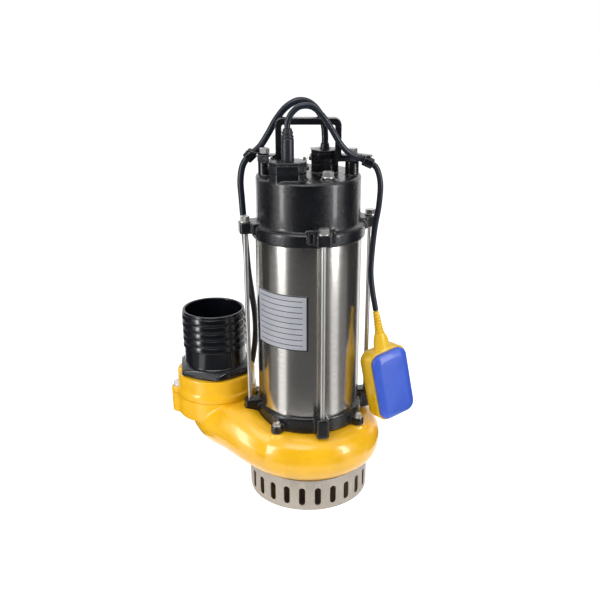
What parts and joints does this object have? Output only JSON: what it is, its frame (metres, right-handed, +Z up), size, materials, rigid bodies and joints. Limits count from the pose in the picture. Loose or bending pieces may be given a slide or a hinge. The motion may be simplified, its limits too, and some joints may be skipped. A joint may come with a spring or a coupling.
{
  "type": "submersible sump pump",
  "caption": "Submersible sump pump with cast volute, upright hose tail, slotted inlet strainer, stainless motor barrel, strap handle and hanging float switch.",
  "frame": {"origin": "on the motor axis, at the underside of the inlet strainer", "axes": "+Z up along the motor axis, -Y to the front where the rating plate is, outlet on the -X side, float switch on the +X side"},
  "size_m": [0.3963, 0.4264, 0.6252],
  "materials": {
    "yellow_paint": "glossy cast enamel with a slight orange peel",
    "black_paint": "semi-gloss black paint over rough sand casting",
    "stainless": "brushed along its length",
    "pressed_stainless": "matt pressed sheet",
    "zinc": "bright zinc plate",
    "black_plastic": "moulded, semi-gloss",
    "rubber": "matt",
    "cable_jacket": "satin rubber sheath",
    "copper": "varnished winding",
    "steel": "turned",
    "cast_iron": "as cast",
    "ceramic": "lapped",
    "float_yellow": "moulded, satin",
    "float_blue": "moulded, satin",
    "label": "printed foil with plain rules and no words"
  },
  "bodies": {
    "pump_body": {"strainer": "pressed_stainless", "volute_casing": "yellow_paint", "outlet_flange": "yellow_paint", "wear_ring": "cast_iron", "outlet_gasket": "rubber", "hose_tail_seal": "rubber", "casing_seal": "rubber", "lower_barrel_seal": "rubber", "upper_barrel_seal": "rubber", "float_cable_boot": "rubber", "power_cable_boot": "rubber", "cable_clip_left": "black_plastic", "cable_clip_right": "black_plastic", "hose_tail": "black_plastic", "run_capacitor": "black_plastic", "power_plug": "black_plastic", "chamber_bolt_1": "zinc", "chamber_bolt_2": "zinc", "chamber_bolt_3": "zinc", "chamber_bolt_4": "zinc", "tie_bolt_1": "zinc", "tie_bolt_2": "zinc", "tie_bolt_3": "zinc", "tie_bolt_4": "zinc", "flange_bolt_1": "zinc", "flange_bolt_2": "zinc", "handle_bolt_1": "zinc", "handle_bolt_2": "zinc", "cap_plug": "zinc", "oil_chamber": "black_paint", "motor_cap": "black_paint", "float_gland": "black_paint", "power_gland": "black_paint", "handle": "black_paint", "seal_seat": "ceramic", "motor_barrel": "stainless", "stator_core": "steel", "lower_outer_race": "steel", "upper_outer_race": "steel", "lower_winding": "copper", "upper_winding": "copper", "float_cord": "cable_jacket", "power_cord": "cable_jacket", "power_cord_coil": "cable_jacket", "rating_plate": "label"},
    "rotor": {"shaft": "steel", "impeller": "cast_iron", "impeller_key": "steel", "impeller_nut": "zinc", "seal_head": "rubber", "rotor_core": "steel", "lower_inner_race": "steel", "upper_inner_race": "steel"},
    "lower_cage": {"lower_balls": "steel"},
    "upper_cage": {"upper_balls": "steel"},
    "float_switch": {"float_shell": "float_yellow", "float_cover": "float_blue", "float_boot": "float_yellow", "float_switch_unit": "black_plastic"},
    "switch_ball": {"float_ball": "steel"}
  },
  "joints": [
    {"name": "rotor_spin", "type": "hinge", "parent": "pump_body", "child": "rotor", "pos_m": [0, 0, 0.28], "axis": [0, 0, 1], "continuous": true},
    {"name": "lower_cage_spin", "type": "hinge", "parent": "pump_body", "child": "lower_cage", "pos_m": [0, 0, 0.1825], "axis": [0, 0, 1], "continuous": true},
    {"name": "upper_cage_spin", "type": "hinge", "parent": "pump_body", "child": "upper_cage", "pos_m": [0, 0, 0.413], "axis": [0, 0, 1], "continuous": true},
    {"name": "float_swing", "type": "hinge", "parent": "pump_body", "child": "float_switch", "pos_m": [0.104, -0.026, 0.312], "axis": [0, -1, 0], "range_deg": [0, 90]},
    {"name": "ball_roll", "type": "slide", "parent": "float_switch", "child": "switch_ball", "axis": [-0.1908, 0, 0.9816], "range_m": [0, 0.02]}
  ],
  "couplings": [
    {"joint": "lower_cage_spin", "follows": "rotor_spin", "ratio": 0.433},
    {"joint": "upper_cage_spin", "follows": "rotor_spin", "ratio": 0.423}
  ]
}
